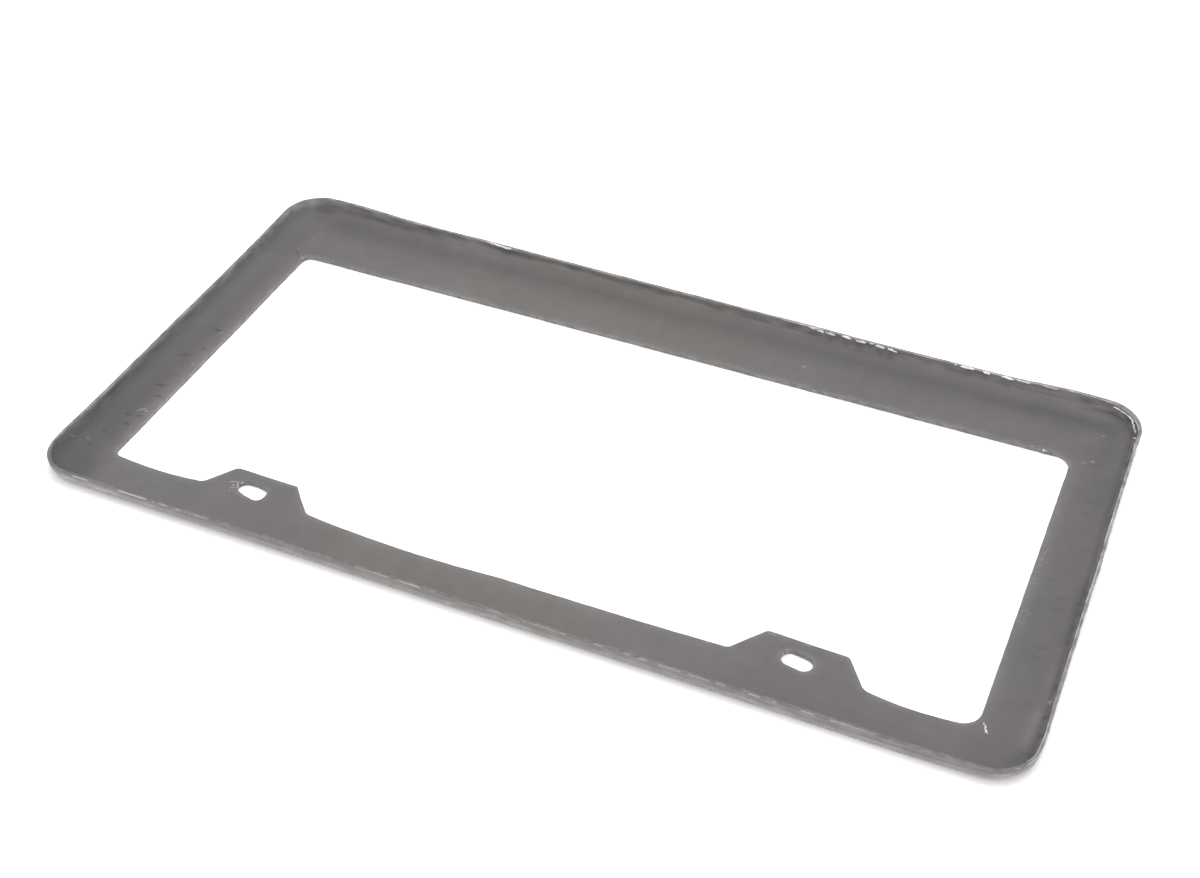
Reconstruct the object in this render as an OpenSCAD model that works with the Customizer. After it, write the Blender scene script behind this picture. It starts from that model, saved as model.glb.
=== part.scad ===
// Frame that holds a car's number plate, moulded in one piece from fibre laminate.
// It lies on its show face, the way it comes to rest: the back faces up, and the
// shallow lip that runs round the plate's edge points up.
// X runs along the frame, Y across it from the tabs to the wide band, Z is up.
// The origin is the centre of the rim, on the plane of the show face.

/* [Plate it frames] */
// Length of the number plate
plate_w = 304.8; // [200:0.1:540]
// Height of the number plate
plate_h = 152.4; // [130:0.1:240]
// Gap between the plate's edge and the lip, all round
plate_gap = 4.5; // [0.5:0.1:10]

/* [Laminate] */
// Thickness of the flange and of the rolled edge
wall_t = 1.5; // [1:0.1:3]
// Thickness of the lip, which has fewer plies
lip_t = 1.1; // [0.8:0.05:2.5]

/* [Rolled edge] */
// Height of the rim above the show face
lip_h = 5.5; // [5:0.1:12]
// Width of the sloped border between the flat flange and the lip
roll_w = 7; // [5:0.1:9]
// Height of the knee where the border turns up into the lip
roll_rise = 1.9; // [1:0.1:2.5]
// How far the lip leans outwards between knee and rim
lip_lean = 0.25; // [0:0.05:0.6]
// Radius of the rim's corners, seen in plan
corner_r = 12; // [11:0.5:30]
// Outside radius of the knee
knee_r = 1; // [0.3:0.1:1.5]
// Inside radius of the cove at the foot of the lip
cove_r = 1.6; // [0.3:0.1:2]
// Radius of the soft crease where the border leaves the flat flange
crease_r = 9; // [2:0.5:14]
// Radius on the trimmed edge of the rim
rim_r = 0.25; // [0.05:0.05:0.35]

/* [Window] */
// Width of the band on the left
band_left = 17.3; // [14:0.1:28]
// Width of the band on the right
band_right = 18.3; // [14:0.1:28]
// Width of the wide band at its left end
band_far_left = 28.6; // [15:0.1:40]
// Width of the wide band at its right end
band_far_right = 26.7; // [15:0.1:40]
// Width of the narrow band where the tabs rise from it
band_near = 17; // [13:0.1:24]
// Window corner radius, wide band, left
corner_far_left = 3.5; // [1:0.5:10]
// Window corner radius, wide band, right
corner_far_right = 5.5; // [1:0.5:10]
// Window corner radius, narrow band, left
corner_near_left = 3; // [1:0.5:6]
// Window corner radius, narrow band, right
corner_near_right = 5; // [1:0.5:6]
// Depth of the short scoops between the tabs and the side bands
scoop_short = 1.3; // [0:0.1:3]
// Depth of the long scoop between the tabs
scoop_long = 2.1; // [0:0.1:3]

/* [Bolt tabs] */
// Distance between the two bolt slots
bolt_pitch = 177.8; // [120:0.1:200]
// How far the pair of slots sits off the frame's middle
bolt_shift = -2.5; // [-5:0.1:5]
// Distance from the rim to the middle of the slots
bolt_inset = 19.6; // [16:0.1:22]
// Width of a slot, for an M6 or quarter-inch bolt
slot_w = 6.8; // [4:0.1:8]
// Length of a slot
slot_l = 10; // [8.5:0.1:12]
// Height of a tab above the narrow band
tab_rise = 9.9; // [9:0.1:14]
// Width of the left tab along its top
tab_top_left = 20.5; // [18:0.1:30]
// Width of the right tab along its top
tab_top_right = 24.5; // [18:0.1:30]
// How far each sloped side of a tab runs along the band
tab_slope = 8.2; // [2:0.1:12]
// How far the left tab sits off its slot
tab_shift_left = 1.2; // [-3:0.1:3]
// How far the right tab sits off its slot
tab_shift_right = 1; // [-3:0.1:3]
// Radius on the upper corners of the tabs
tab_corner_r = 2; // [0.5:0.1:3]
// Radius in the corners at the feet of the tabs
tab_foot_r = 2.5; // [0.5:0.1:3]

/* [Hidden] */

// Colour of the bare back of the laminate
laminate_grey = [0.48, 0.47, 0.465];

rim_w = plate_w + 2 * (plate_gap + lip_t);
rim_d = plate_h + 2 * (plate_gap + lip_t);

// Flat stretch that a lip section carries inwards past the crease, so that it
// overlaps the floor panel, which ends half-way along it
crease_run = crease_r * tan(atan2(roll_rise, roll_w - lip_lean) / 2);
flat_end = roll_w + crease_run + 1;
panel_edge = flat_end - 0.5;

// Faces of a quarter turn in the section's and the outline's arcs
arc_faces = 6;
// Faces of one scoop of the narrow band
scoop_faces = 10;
// Share of its radius that a rounded corner takes from the lines beside it, at most
corner_reach = 1.15;
// How far the cuts run past the faces that they go through
cut_run = 1;

function unit(v) = v / norm(v);

// Where the line through p along u meets the line through q along v
function meet(p, u, q, v) =
    p + u * (((q.x - p.x) * v.y - (q.y - p.y) * v.x) / (u.x * v.y - u.y * v.x));

// Points of the arc of radius r that rounds the corner b between a and c
function round_corner(a, b, c, r) =
    let (u = unit(a - b), v = unit(c - b),
         half = acos(max(-1, min(1, u * v))) / 2,
         turn = 180 - 2 * half,
         centre = b + unit(u + v) * r / sin(half),
         from = b + u * r / tan(half) - centre,
         way = (u.x * v.y - u.y * v.x) > 0 ? -1 : 1,
         faces = max(2, ceil(arc_faces * turn / 90)))
    [for (i = [0 : faces])
        let (a = way * turn * i / faces)
        centre + [from.x * cos(a) - from.y * sin(a), from.x * sin(a) + from.y * cos(a)]];

// Closed outline through [x, y, corner radius] points, in the order given
function rounded(points) =
    let (n = len(points), at = function (i) [points[i].x, points[i].y])
    [for (i = [0 : n - 1])
        each points[i].z == 0
            ? [at(i)]
            : round_corner(at((i + n - 1) % n), at(i), at((i + 1) % n), points[i].z)];

// Points of a scoop between two rounded corners, along one smooth curve with the
// given depth, which pulls to the given share of the way. Those within reach of a
// corner's own radius are left to that corner.
function scoop(from, from_r, to, to_r, depth, pull) =
    let (middle = from + (to - from) * pull - [0, 2 * depth])
    [for (i = [1 : scoop_faces - 1])
        let (t = i / scoop_faces,
             p = from * (1 - t) * (1 - t) + middle * 2 * t * (1 - t) + to * t * t)
        if (norm(p - from) > corner_reach * from_r && norm(p - to) > corner_reach * to_r)
            [p.x, p.y, 0]];

// Section of the rolled edge and lip: x is the distance in from the rim, y the height
function edge_section() =
    let (slope = unit([lip_lean - roll_w, roll_rise]),
         lean = unit([-lip_lean, lip_h - roll_rise]),
         slope_in = [roll_w, 0] + wall_t * [slope.y, -slope.x],
         lean_in = [0, lip_h] + lip_t * [lean.y, -lean.x],
         crease = meet(slope_in, slope, [0, wall_t], [1, 0]),
         cove = meet(slope_in, slope, lean_in, lean),
         rim_in = meet(lean_in, lean, [0, lip_h], [1, 0]))
    rounded([
        [flat_end, 0, 0],
        [roll_w, 0, crease_r],
        [lip_lean, roll_rise, knee_r],
        [0, lip_h, rim_r],
        [rim_in.x, rim_in.y, rim_r],
        [cove.x, cove.y, cove_r],
        [crease.x, crease.y, crease_r],
        [flat_end, wall_t, 0]
    ]);

// Straight length of rolled edge along X, with its rim on y = 0
module edge_run(length) {
    rotate([90, 0, 90])
        linear_extrude(length, center = true)
            polygon(edge_section());
}

// Quarter turn of the same section, about the centre of a rim corner
module edge_corner() {
    rotate_extrude(angle = 90, $fn = 96)
        translate([corner_r, 0])
            mirror([1, 0])
                polygon(edge_section());
}

// Rolled edge all the way round the rim
module rolled_edge() {
    run_x = rim_w - 2 * corner_r;
    run_y = rim_d - 2 * corner_r;
    for (side = [[0, rim_d, run_x], [90, rim_w, run_y], [180, rim_d, run_x], [270, rim_w, run_y]])
        rotate([0, 0, side[0]])
            translate([0, -side[1] / 2, 0])
                edge_run(side[2]);
    for (corner = [[1, 1, 0], [-1, 1, 90], [-1, -1, 180], [1, -1, 270]])
        translate([corner.x * run_x / 2, corner.y * run_y / 2, 0])
            rotate([0, 0, corner.z])
                edge_corner();
}

// Flat floor of the moulding, before the window is cut
module floor_panel() {
    x = rim_w / 2 - panel_edge;
    y = rim_d / 2 - panel_edge;
    r = max(0, corner_r - panel_edge);
    linear_extrude(wall_t)
        polygon(rounded([[-x, -y, r], [x, -y, r], [x, y, r], [-x, y, r]]));
}

// Outline of the window, anticlockwise from the far left corner
function window_outline() =
    let (left = band_left - rim_w / 2,
         right = rim_w / 2 - band_right,
         far_left = rim_d / 2 - band_far_left,
         far_right = rim_d / 2 - band_far_right,
         foot_y = band_near - rim_d / 2,
         top_y = foot_y + tab_rise,
         tab_l = bolt_shift - bolt_pitch / 2 + tab_shift_left,
         tab_r = bolt_shift + bolt_pitch / 2 + tab_shift_right,
         foot_l = [tab_l - tab_top_left / 2 - tab_slope, foot_y],
         foot_ml = [tab_l + tab_top_left / 2 + tab_slope, foot_y],
         foot_mr = [tab_r - tab_top_right / 2 - tab_slope, foot_y],
         foot_r = [tab_r + tab_top_right / 2 + tab_slope, foot_y])
    rounded([
        [left, far_left, corner_far_left],
        [left, foot_y, corner_near_left],
        each scoop([left, foot_y], corner_near_left, foot_l, tab_foot_r, scoop_short, 0.55),
        [foot_l.x, foot_y, tab_foot_r],
        [foot_l.x + tab_slope, top_y, tab_corner_r],
        [foot_ml.x - tab_slope, top_y, tab_corner_r],
        [foot_ml.x, foot_y, tab_foot_r],
        each scoop(foot_ml, tab_foot_r, foot_mr, tab_foot_r, scoop_long, 0.25),
        [foot_mr.x, foot_y, tab_foot_r],
        [foot_mr.x + tab_slope, top_y, tab_corner_r],
        [foot_r.x - tab_slope, top_y, tab_corner_r],
        [foot_r.x, foot_y, tab_foot_r],
        each scoop(foot_r, tab_foot_r, [right, foot_y], corner_near_right, scoop_short, 0.45),
        [right, foot_y, corner_near_right],
        [right, far_right, corner_far_right]
    ]);

// Window, cut through the floor by hand after moulding
module window_cut() {
    translate([0, 0, -cut_run])
        linear_extrude(wall_t + 2 * cut_run)
            polygon(window_outline());
}

// One bolt slot with round ends, cut through a tab
module bolt_slot() {
    reach = (slot_l - slot_w) / 2;
    translate([0, 0, -cut_run])
        linear_extrude(wall_t + 2 * cut_run)
            union() {
                for (end = [-reach, reach])
                    translate([end, 0])
                        circle(d = slot_w, $fn = 64);
                square([2 * reach, slot_w], center = true);
            }
}

module plate_frame() {
    color(laminate_grey)
        difference() {
            union() {
                floor_panel();
                rolled_edge();
            }
            window_cut();
            for (side = [-1, 1])
                translate([bolt_shift + side * bolt_pitch / 2, bolt_inset - rim_d / 2, 0])
                    bolt_slot();
        }
}

plate_frame();
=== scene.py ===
"""A number plate frame, hand-laid in fibre laminate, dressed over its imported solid.

The frame lies on its show face with its back up, the way it comes to rest. X runs
along it, Y from the bolt tabs to the wide band, and Z is up. Shapes are worked in
millimetres and brought to metres when a piece is finished.
"""

from __future__ import annotations

import logging
import math
from collections.abc import Iterable
from dataclasses import dataclass, field
from enum import Enum

import bmesh
import bpy
from mathutils import Matrix, Vector, kdtree, noise


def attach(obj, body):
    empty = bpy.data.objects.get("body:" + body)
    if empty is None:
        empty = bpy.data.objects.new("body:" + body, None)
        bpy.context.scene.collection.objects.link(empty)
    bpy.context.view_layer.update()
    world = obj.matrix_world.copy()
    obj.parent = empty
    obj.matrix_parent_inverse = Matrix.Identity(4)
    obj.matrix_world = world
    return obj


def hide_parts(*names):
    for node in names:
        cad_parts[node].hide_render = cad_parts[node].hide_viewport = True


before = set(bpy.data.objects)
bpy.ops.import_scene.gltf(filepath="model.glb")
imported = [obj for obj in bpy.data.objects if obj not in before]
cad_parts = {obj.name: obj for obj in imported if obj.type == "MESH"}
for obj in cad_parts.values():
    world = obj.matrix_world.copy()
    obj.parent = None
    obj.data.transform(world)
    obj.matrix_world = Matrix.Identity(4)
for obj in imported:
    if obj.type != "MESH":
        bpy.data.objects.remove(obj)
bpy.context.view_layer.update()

log = logging.getLogger("plate_frame")

MM = 0.001
QUARTER = math.pi / 2

# A line drawn through (place, value) pairs, for read_off
Stops = tuple[tuple[float, float], ...]

# Past these places along Y, in mm, the rim is the narrow band's lip or the wide band's
NEAR_LIP = -79.0
FAR_LIP = 76.0
# Within these distances, in mm, two points are one, or a point is level with a plane
ONE_POINT = 0.001
LEVEL = 1e-4


class Side(Enum):
    """Which of the laminate's surfaces a face belongs to, as its material slot."""

    BACK = 0
    SHOW = 1
    TRIM = 2
    LIP = 3


def srgb(code: str) -> tuple[float, float, float, float]:
    """Turn an sRGB hex colour into linear RGBA.

    Args:
        code: six hex digits, such as "7b7877".

    Returns:
        Linear red, green, blue and an alpha of 1.
    """
    parts = (int(code[i : i + 2], 16) / 255 for i in (0, 2, 4))
    linear = (c / 12.92 if c <= 0.04045 else ((c + 0.055) / 1.055) ** 2.4 for c in parts)
    return (*linear, 1.0)


def per_mm(size: float) -> float:
    """Scale of a texture on Object coordinates whose features are size mm apart."""
    return 1 / (size * MM)


def add(tree: bpy.types.NodeTree, kind: str, inputs: dict | None = None, **settings) -> bpy.types.Node:
    """Add a node with its settings and links.

    Args:
        tree: the node tree that gets the node.
        kind: the node's type name.
        inputs: values, or other nodes' output sockets, by input name or index.
        **settings: the node's own properties.

    Returns:
        The new node.
    """
    made = tree.nodes.new(kind)
    for name, value in settings.items():
        setattr(made, name, value)
    for name, value in (inputs or {}).items():
        if isinstance(value, bpy.types.NodeSocket):
            tree.links.new(value, made.inputs[name])
        else:
            made.inputs[name].default_value = value
    return made


def new_material(name: str) -> tuple[bpy.types.Material, bpy.types.NodeTree, bpy.types.Node]:
    """Start a node material.

    Args:
        name: what the material is and how its surface was made.

    Returns:
        The material, its tree, and its Principled shader.
    """
    material = bpy.data.materials.new(name)
    material.use_nodes = True
    tree = material.node_tree
    return material, tree, tree.nodes["Principled BSDF"]


def meet(p: Vector, u: Vector, q: Vector, v: Vector) -> Vector:
    """Where the line through p along u meets the line through q along v, in a plane."""
    gap = q - p
    return p + u * ((gap.x * v.y - gap.y * v.x) / (u.x * v.y - u.y * v.x))


def clamp(value: float) -> float:
    """Hold a value between 0 and 1."""
    return max(0.0, min(1.0, value))


def read_off(stops: Stops, place: float) -> float:
    """Read a value off a line through stops, flat beyond its ends.

    Args:
        stops: the (place, value) pairs, in the order of their places.
        place: where to read.

    Returns:
        The value there.
    """
    for (start, low), (end, high) in zip(stops, stops[1:]):
        if place < end:
            return low + (high - low) * clamp((place - start) / (end - start))
    return stops[-1][1]


def ripple(x: float, y: float, length: float, seed: float) -> float:
    """Smooth noise between about -1 and 1.

    Args:
        x: place along X, in mm.
        y: place along Y, in mm.
        length: distance over which it changes, in mm.
        seed: picks one pattern out of many.

    Returns:
        The noise at that place.
    """
    return noise.noise(Vector((x / length, y / length, seed)))


def proud_fibres_and_glints(tree: bpy.types.NodeTree, place: bpy.types.NodeSocket) -> bpy.types.NodeSocket:
    """Find where fibres stand proud along a trimmed rim, with a painted highlight, in short stretches.

    Args:
        tree: the material's nodes.
        place: Object coordinates.

    Returns:
        1 where they show, as far as the piece's "frayed" lets them, and 0 elsewhere.
    """
    run = add(tree, "ShaderNodeTexNoise", {"Vector": place, "Scale": per_mm(7), "Detail": 3.0})
    fine = add(tree, "ShaderNodeTexNoise", {"Vector": place, "Scale": per_mm(2.2), "Detail": 2.0})
    both = add(
        tree,
        "ShaderNodeMath",
        {0: fine.outputs["Fac"], 1: 0.5, 2: run.outputs["Fac"]},
        operation="MULTIPLY_ADD",
    ).outputs[0]
    broken = add(
        tree, "ShaderNodeMapRange", {"Value": both, "From Min": 0.69, "From Max": 0.78}
    ).outputs[0]
    frayed_and_glint = add(tree, "ShaderNodeAttribute", attribute_name="frayed_and_glint").outputs["Fac"]
    return add(tree, "ShaderNodeMath", {0: broken, 1: frayed_and_glint}, operation="MULTIPLY").outputs[0]


def lose_cast(
    tree: bpy.types.NodeTree, colour: bpy.types.NodeSocket, place: bpy.types.NodeSocket
) -> bpy.types.NodeSocket:
    """Turn a colour neutral grey towards the left rim, where the resin has no cast.

    Args:
        tree: the material's nodes.
        colour: the colour with its cast.
        place: Object coordinates.

    Returns:
        The colour, grey at the left rim.
    """
    along = add(tree, "ShaderNodeSeparateXYZ", {0: place}).outputs["X"]
    share = add(
        tree,
        "ShaderNodeMapRange",
        {"Value": along, "From Min": -157.5 * MM, "From Max": -149 * MM},
    ).outputs[0]
    return add(
        tree, "ShaderNodeHueSaturation", {"Saturation": share, "Color": colour}
    ).outputs["Color"]


def shaded(tree: bpy.types.NodeTree, colour: bpy.types.NodeSocket) -> bpy.types.NodeSocket:
    """Lay the piece's painted broad shading and its tone over a colour, as stored at each point."""
    tone = add(tree, "ShaderNodeAttribute", attribute_name="tone").outputs["Fac"]
    return add(tree, "ShaderNodeVectorMath", {0: colour, "Scale": tone}, operation="SCALE").outputs[0]


def round_corner(mesh: bmesh.types.BMesh, vert: bmesh.types.BMVert, radius: float, segments: int) -> None:
    """Round one corner of a wire outline.

    Args:
        mesh: the mesh that holds the wire.
        vert: the corner.
        radius: radius of the arc, in mm.
        segments: number of edges in the arc.
    """
    along = [edge.other_vert(vert).co - vert.co for edge in vert.link_edges]
    turn = math.pi - along[0].angle(along[1])
    bmesh.ops.bevel(
        mesh,
        geom=[vert],
        offset=radius * math.tan(turn / 2),
        offset_type="OFFSET",
        segments=segments,
        profile=0.5,
        affect="VERTICES",
        material=-1,
    )


def cut_long(mesh: bmesh.types.BMesh, edges: Iterable[bmesh.types.BMEdge], longest: float) -> None:
    """Divide edges evenly so that none is too long.

    Args:
        mesh: the mesh that holds them.
        edges: the edges.
        longest: the most that one may be, in mm.
    """
    for edge in list(edges):
        cuts = math.ceil(edge.calc_length() / longest) - 1
        if cuts > 0:
            bmesh.ops.subdivide_edges(mesh, edges=[edge], cuts=cuts)


def finish_piece(
    mesh: bmesh.types.BMesh, name: str, materials: list[bpy.types.Material], sharp: float
) -> bpy.types.Object:
    """Bring a mesh to metres and link it as a piece that rides on the part.

    Args:
        mesh: the mesh, in mm; it is freed.
        name: the piece's name.
        materials: materials, in slot order.
        sharp: angle in degrees past which an edge is shaded sharp.

    Returns:
        The new object, at the origin.
    """
    bmesh.ops.scale(mesh, vec=(MM, MM, MM), verts=mesh.verts)
    data = bpy.data.meshes.new(name)
    mesh.to_mesh(data)
    mesh.free()
    for polygon in data.polygons:
        polygon.use_smooth = True
    data.set_sharp_from_angle(angle=math.radians(sharp))
    for material in materials:
        data.materials.append(material)
    piece = bpy.data.objects.new(name, data)
    bpy.context.scene.collection.objects.link(piece)
    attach(piece, "root")
    return piece


@dataclass(frozen=True)
class Scar:
    """A short mark on the bare back: its middle, length, width and turn, in mm and degrees.

    Marks on the lip are also given their height and how tall they are.
    """

    x: float
    y: float
    length: float
    width: float
    turn: float
    z: float = 1.5
    tall: float = 4.0


@dataclass(frozen=True)
class BareLaminate:
    """Bare back of a hand-laid laminate: cured resin that a peel ply left matt.

    Its grey has a faint mauve cast that turns straw-coloured towards the middle, where
    the resin lay thicker, and cooler in a few broad spots. A fine grain keeps it from
    reading as plastic. Handling left short dark nicks, deeper pits along the left band
    and inside the right lip, pale specks and thin scuffs. The share stored at each point
    lays painted shade in the lip's cove and crease and painted light on its slope.
    """

    mauve: str = "716d6e"
    straw: str = "706d6a"
    nick: str = "545152"
    pit: str = "454343"
    speck: str = "929190"
    rubbed: str = "7f7c7b"
    roughness: float = 0.68
    nicks: tuple[Scar, ...] = (
        Scar(149.3, 36.1, 2.4, 1.2, 21),
        Scar(149.2, 30.0, 1.8, 1.3, 21),
        Scar(145.7, -2.1, 2.0, 1.1, 21),
        Scar(150.3, -8.4, 3.4, 1.3, 21),
        Scar(150.0, -13.3, 3.2, 1.6, 21),
        Scar(149.4, -30.0, 4.2, 1.1, 8),
        Scar(148.4, -34.0, 2.6, 1.8, 21),
        Scar(150.4, -51.5, 2.4, 1.0, -12),
        Scar(81.2, -58.8, 1.2, 0.8, 0),
    )
    pits: tuple[Scar, ...] = (
        Scar(-147.3, -13.7, 4.6, 1.3, 22),
        Scar(-143.9, -8.7, 2.0, 1.0, 5),
        Scar(-146.2, -30.5, 4.8, 1.2, 15),
        Scar(-143.4, -35.7, 2.4, 1.0, 20),
        Scar(-143.4, -46.4, 2.6, 0.9, 10),
        Scar(-147.3, -47.1, 2.4, 1.2, -10),
        Scar(-145.0, -51.3, 2.6, 1.5, 0),
        Scar(-143.8, -46.7, 1.6, 0.7, 18),
        Scar(-149.3, -57.1, 1.9, 1.0, 0),
        Scar(-150.2, -64.2, 1.8, 1.2, 0),
        Scar(-144.9, 1.9, 3.0, 1.4, 8),
        Scar(-144.5, 53.2, 4.6, 0.5, -47),
        Scar(156.6, -6.0, 3.0, 2.4, 90, 2.9, 2.2),
        Scar(156.2, -10.0, 2.2, 2.4, 90, 2.7, 1.8),
        Scar(156.8, -14.0, 3.0, 2.2, 90, 3.1, 2.2),
        Scar(156.3, -20.4, 2.4, 2.2, 90, 2.7, 1.8),
        Scar(156.2, -26.0, 2.2, 2.0, 90, 2.6, 1.5),
        Scar(156.8, -44.8, 3.6, 2.4, 90, 3.0, 2.4),
        Scar(156.3, -56.0, 2.2, 2.2, 90, 2.7, 1.8),
        Scar(156.5, -62.8, 2.2, 2.2, 90, 2.8, 2.0),
        Scar(155.0, -70.4, 2.6, 2.2, 110, 3.0, 2.4),
    )
    specks: tuple[Scar, ...] = (
        Scar(-141.1, -37.7, 1.6, 0.6, 30),
        Scar(-142.6, -17.0, 1.2, 1.0, 0),
        Scar(-143.2, 1.3, 1.0, 1.6, 0),
        Scar(-151.6, -62.3, 1.1, 0.7, 20),
        Scar(-156.3, -64.2, 1.8, 0.9, 20),
        Scar(-140.9, 50.6, 1.2, 2.2, 30),
        Scar(143.9, 53.7, 1.8, 1.0, 30),
        Scar(146.4, 55.2, 1.6, 1.1, 0),
        Scar(147.0, 69.1, 1.0, 0.8, 0),
        Scar(46.0, 64.0, 1.3, 1.2, 0),
        Scar(83.2, -59.2, 2.4, 0.6, 6),
        Scar(86.4, -59.3, 0.9, 0.6, 0),
        Scar(156.3, -50.0, 1.4, 2.0, 90, 2.8, 1.6),
    )
    scuffs: tuple[Scar, ...] = (
        Scar(141.2, -22.1, 1.2, 0.5, -36),
        Scar(142.4, -21.9, 1.2, 0.5, 55),
        Scar(141.0, -17.8, 1.6, 0.4, 45),
        Scar(142.1, -17.4, 1.2, 0.4, -15),
        Scar(143.1, -18.2, 1.5, 0.4, -60),
        Scar(142.0, -24.3, 1.3, 0.4, 0),
        Scar(140.7, -0.8, 1.7, 0.5, 18),
        Scar(141.4, -3.1, 1.2, 0.4, 18),
        Scar(141.4, -5.3, 1.8, 0.5, 16),
        Scar(141.3, 3.0, 2.0, 0.5, 20),
        Scar(141.4, 5.4, 1.6, 0.4, 80),
        Scar(141.6, 8.6, 2.6, 0.4, 75),
        Scar(141.4, 27.4, 2.4, 0.4, 80),
    )
    cool: str = "6d6e6d"
    cool_spots: tuple[Scar, ...] = (
        Scar(-151.0, -73.0, 17.0, 12.0, 20),
        Scar(-86.0, -60.0, 13.0, 8.0, 0),
        Scar(-100.0, -58.0, 8.0, 9.0, 30),
        Scar(-147.0, 1.0, 8.0, 9.0, 0),
        Scar(-118.0, -70.0, 26.0, 9.0, 0),
        Scar(143.0, -26.0, 8.0, 42.0, 0),
    )

    def build(self) -> bpy.types.Material:
        """Make the material.

        Returns:
            The material.
        """
        material, tree, shader = new_material("bare_peel_ply_laminate")
        place = add(tree, "ShaderNodeTexCoord").outputs["Object"]
        mottle = add(
            tree, "ShaderNodeTexNoise", {"Vector": place, "Scale": per_mm(5), "Detail": 3.0}
        ).outputs["Fac"]
        # The peel ply's threads lie about 0.4 mm apart, too fine to show, so the grain that
        # they left is drawn twice as coarse.
        grain = add(
            tree, "ShaderNodeTexNoise", {"Vector": place, "Scale": per_mm(0.8), "Detail": 2.0}
        ).outputs["Fac"]
        colour = self.ground(tree, place)
        colour = self.scatter(tree, colour, place, self.cool_spots, self.cool, 0.75)
        colour = lose_cast(tree, colour, place)
        colour = self.shade(tree, colour, mottle, grain)
        colour = self.wear(tree, colour, mottle)
        colour = self.scatter(tree, colour, place, self.nicks, self.nick, 0.5)
        colour = self.scatter(tree, colour, place, self.pits, self.pit, 0.66)
        colour = self.scatter(tree, colour, place, self.specks, self.speck, 0.5)
        colour = self.scatter(tree, colour, place, self.scuffs, self.speck, 0.42, 0.4)
        tree.links.new(colour, shader.inputs["Base Color"])
        rough = add(
            tree,
            "ShaderNodeMapRange",
            {"Value": mottle, "To Min": self.roughness - 0.08, "To Max": self.roughness + 0.08},
        ).outputs[0]
        tree.links.new(rough, shader.inputs["Roughness"])
        relief = add(
            tree, "ShaderNodeMath", {0: mottle, 1: 1.5, 2: grain}, operation="MULTIPLY_ADD"
        ).outputs[0]
        bump = add(tree, "ShaderNodeBump", {"Height": relief, "Strength": 0.3, "Distance": 0.1 * MM})
        tree.links.new(bump.outputs[0], shader.inputs["Normal"])
        return material

    def ground(self, tree: bpy.types.NodeTree, place: bpy.types.NodeSocket) -> bpy.types.NodeSocket:
        """Blend the two casts by the distance from the middle and broad, soft clouds.

        Args:
            tree: the material's nodes.
            place: Object coordinates.

        Returns:
            The ground colour.
        """
        along = add(tree, "ShaderNodeSeparateXYZ", {0: place}).outputs["X"]
        cloud = add(
            tree, "ShaderNodeTexNoise", {"Vector": place, "Scale": per_mm(32), "Detail": 2.0}
        ).outputs["Fac"]
        off = add(tree, "ShaderNodeMath", {0: along, 1: 20 * MM}, operation="ADD").outputs[0]
        off = add(tree, "ShaderNodeMath", {0: off}, operation="ABSOLUTE").outputs[0]
        thick = add(
            tree,
            "ShaderNodeMapRange",
            {"Value": off, "From Min": 90 * MM, "From Max": 30 * MM, "To Min": -0.7, "To Max": 0.3},
        ).outputs[0]
        cast = add(
            tree,
            "ShaderNodeMath",
            {0: cloud, 1: 1.2, 2: thick},
            operation="MULTIPLY_ADD",
            use_clamp=True,
        ).outputs[0]
        return add(
            tree,
            "ShaderNodeMix",
            {"Factor": cast, 6: srgb(self.mauve), 7: srgb(self.straw)},
            data_type="RGBA",
        ).outputs[2]

    def shade(
        self,
        tree: bpy.types.NodeTree,
        colour: bpy.types.NodeSocket,
        mottle: bpy.types.NodeSocket,
        grain: bpy.types.NodeSocket,
    ) -> bpy.types.NodeSocket:
        """Lay the broad shading, the mottling and the grain over a colour.

        Args:
            tree: the material's nodes.
            colour: the ground colour.
            mottle: noise a few millimetres wide.
            grain: noise under a millimetre wide.

        Returns:
            The shaded colour.
        """
        tone = add(tree, "ShaderNodeAttribute", attribute_name="tone").outputs["Fac"]
        soft = add(
            tree,
            "ShaderNodeMapRange",
            {"Value": mottle, "From Min": 0.3, "From Max": 0.7, "To Min": 0.94, "To Max": 1.06},
        ).outputs[0]
        fine = add(
            tree,
            "ShaderNodeMapRange",
            {"Value": grain, "From Min": 0.3, "From Max": 0.7, "To Min": 0.96, "To Max": 1.04},
        ).outputs[0]
        share = add(tree, "ShaderNodeMath", {0: tone, 1: soft}, operation="MULTIPLY").outputs[0]
        share = add(tree, "ShaderNodeMath", {0: share, 1: fine}, operation="MULTIPLY").outputs[0]
        return add(
            tree, "ShaderNodeVectorMath", {0: colour, "Scale": share}, operation="SCALE"
        ).outputs[0]

    def wear(
        self, tree: bpy.types.NodeTree, colour: bpy.types.NodeSocket, mottle: bpy.types.NodeSocket
    ) -> bpy.types.NodeSocket:
        """Rub the colour lighter, unevenly, along the cut edges.

        Args:
            tree: the material's nodes.
            colour: the colour so far.
            mottle: noise that breaks the wear up.

        Returns:
            The worn colour.
        """
        reveal = add(tree, "ShaderNodeAttribute", attribute_name="reveal").outputs["Fac"]
        close = add(
            tree, "ShaderNodeMapRange", {"Value": reveal, "From Min": 1.5, "From Max": 0.0}
        ).outputs[0]
        broken = add(
            tree, "ShaderNodeMapRange", {"Value": mottle, "From Min": 0.42, "From Max": 0.62}
        ).outputs[0]
        share = add(tree, "ShaderNodeMath", {0: close, 1: broken}, operation="MULTIPLY").outputs[0]
        return add(
            tree,
            "ShaderNodeMix",
            {"Factor": share, 6: colour, 7: srgb(self.rubbed)},
            data_type="RGBA",
        ).outputs[2]

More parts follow.
